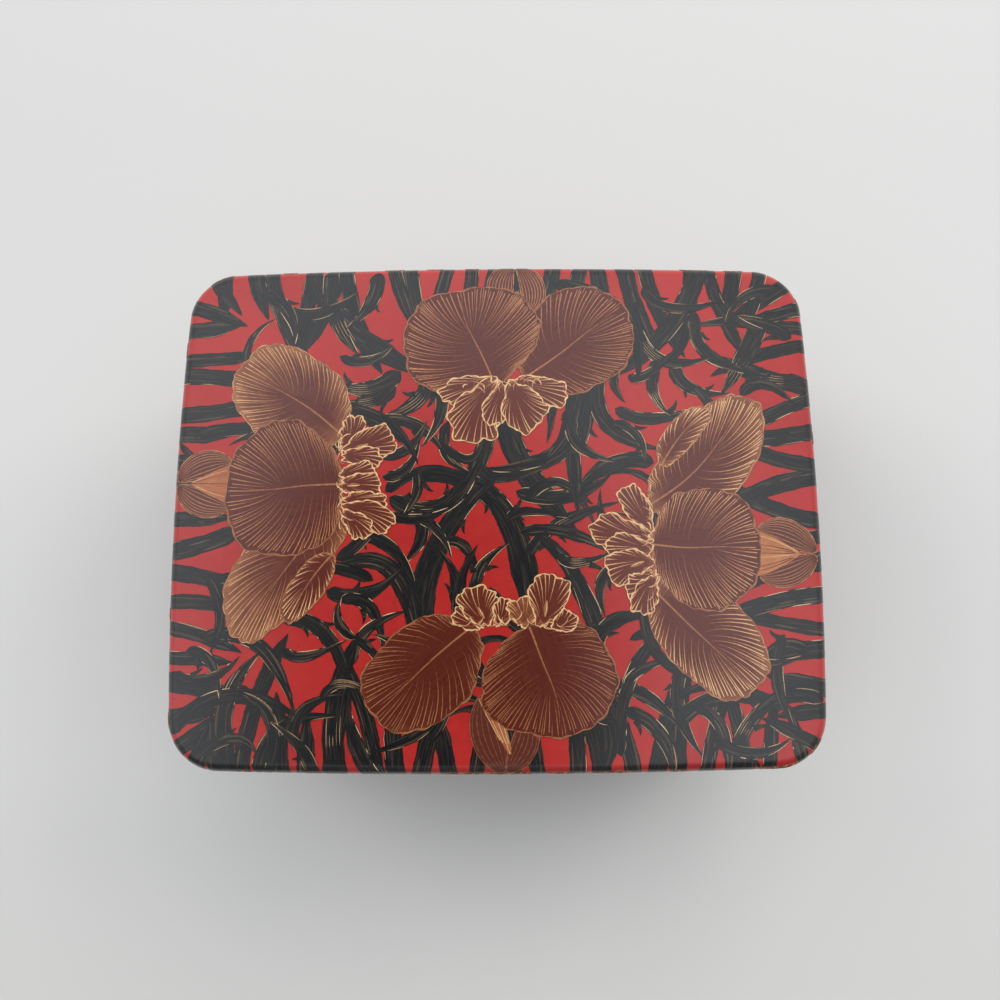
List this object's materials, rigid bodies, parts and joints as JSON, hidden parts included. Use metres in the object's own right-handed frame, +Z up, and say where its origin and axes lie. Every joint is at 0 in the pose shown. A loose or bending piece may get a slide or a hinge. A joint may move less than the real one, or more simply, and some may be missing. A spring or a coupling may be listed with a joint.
{
  "type": "lacquer trinket box",
  "caption": "Oblong lacquered trinket box with bowed sides, round corners, a crowned lift-off lid and an inner neck that guides it.",
  "frame": {"origin": "centre of the rim that the closed box stands on", "axes": "+X along the box's length, +Y towards the long side at the top of the picture, +Z up through the lid"},
  "size_m": [0.127, 0.1, 0.0576],
  "materials": {
    "red_lacquer": "gloss",
    "black_lacquer": "satin"
  },
  "bodies": {
    "base": {"base_wall": "red_lacquer", "base_floor": "black_lacquer", "neck": "black_lacquer"},
    "lid": {"lid_board": "red_lacquer", "lid_wall": "red_lacquer"}
  },
  "joints": [
    {"name": "lid_lift", "type": "slide", "parent": "base", "child": "lid", "axis": [0, 0, 1], "range_m": [0, 0.06]}
  ]
}
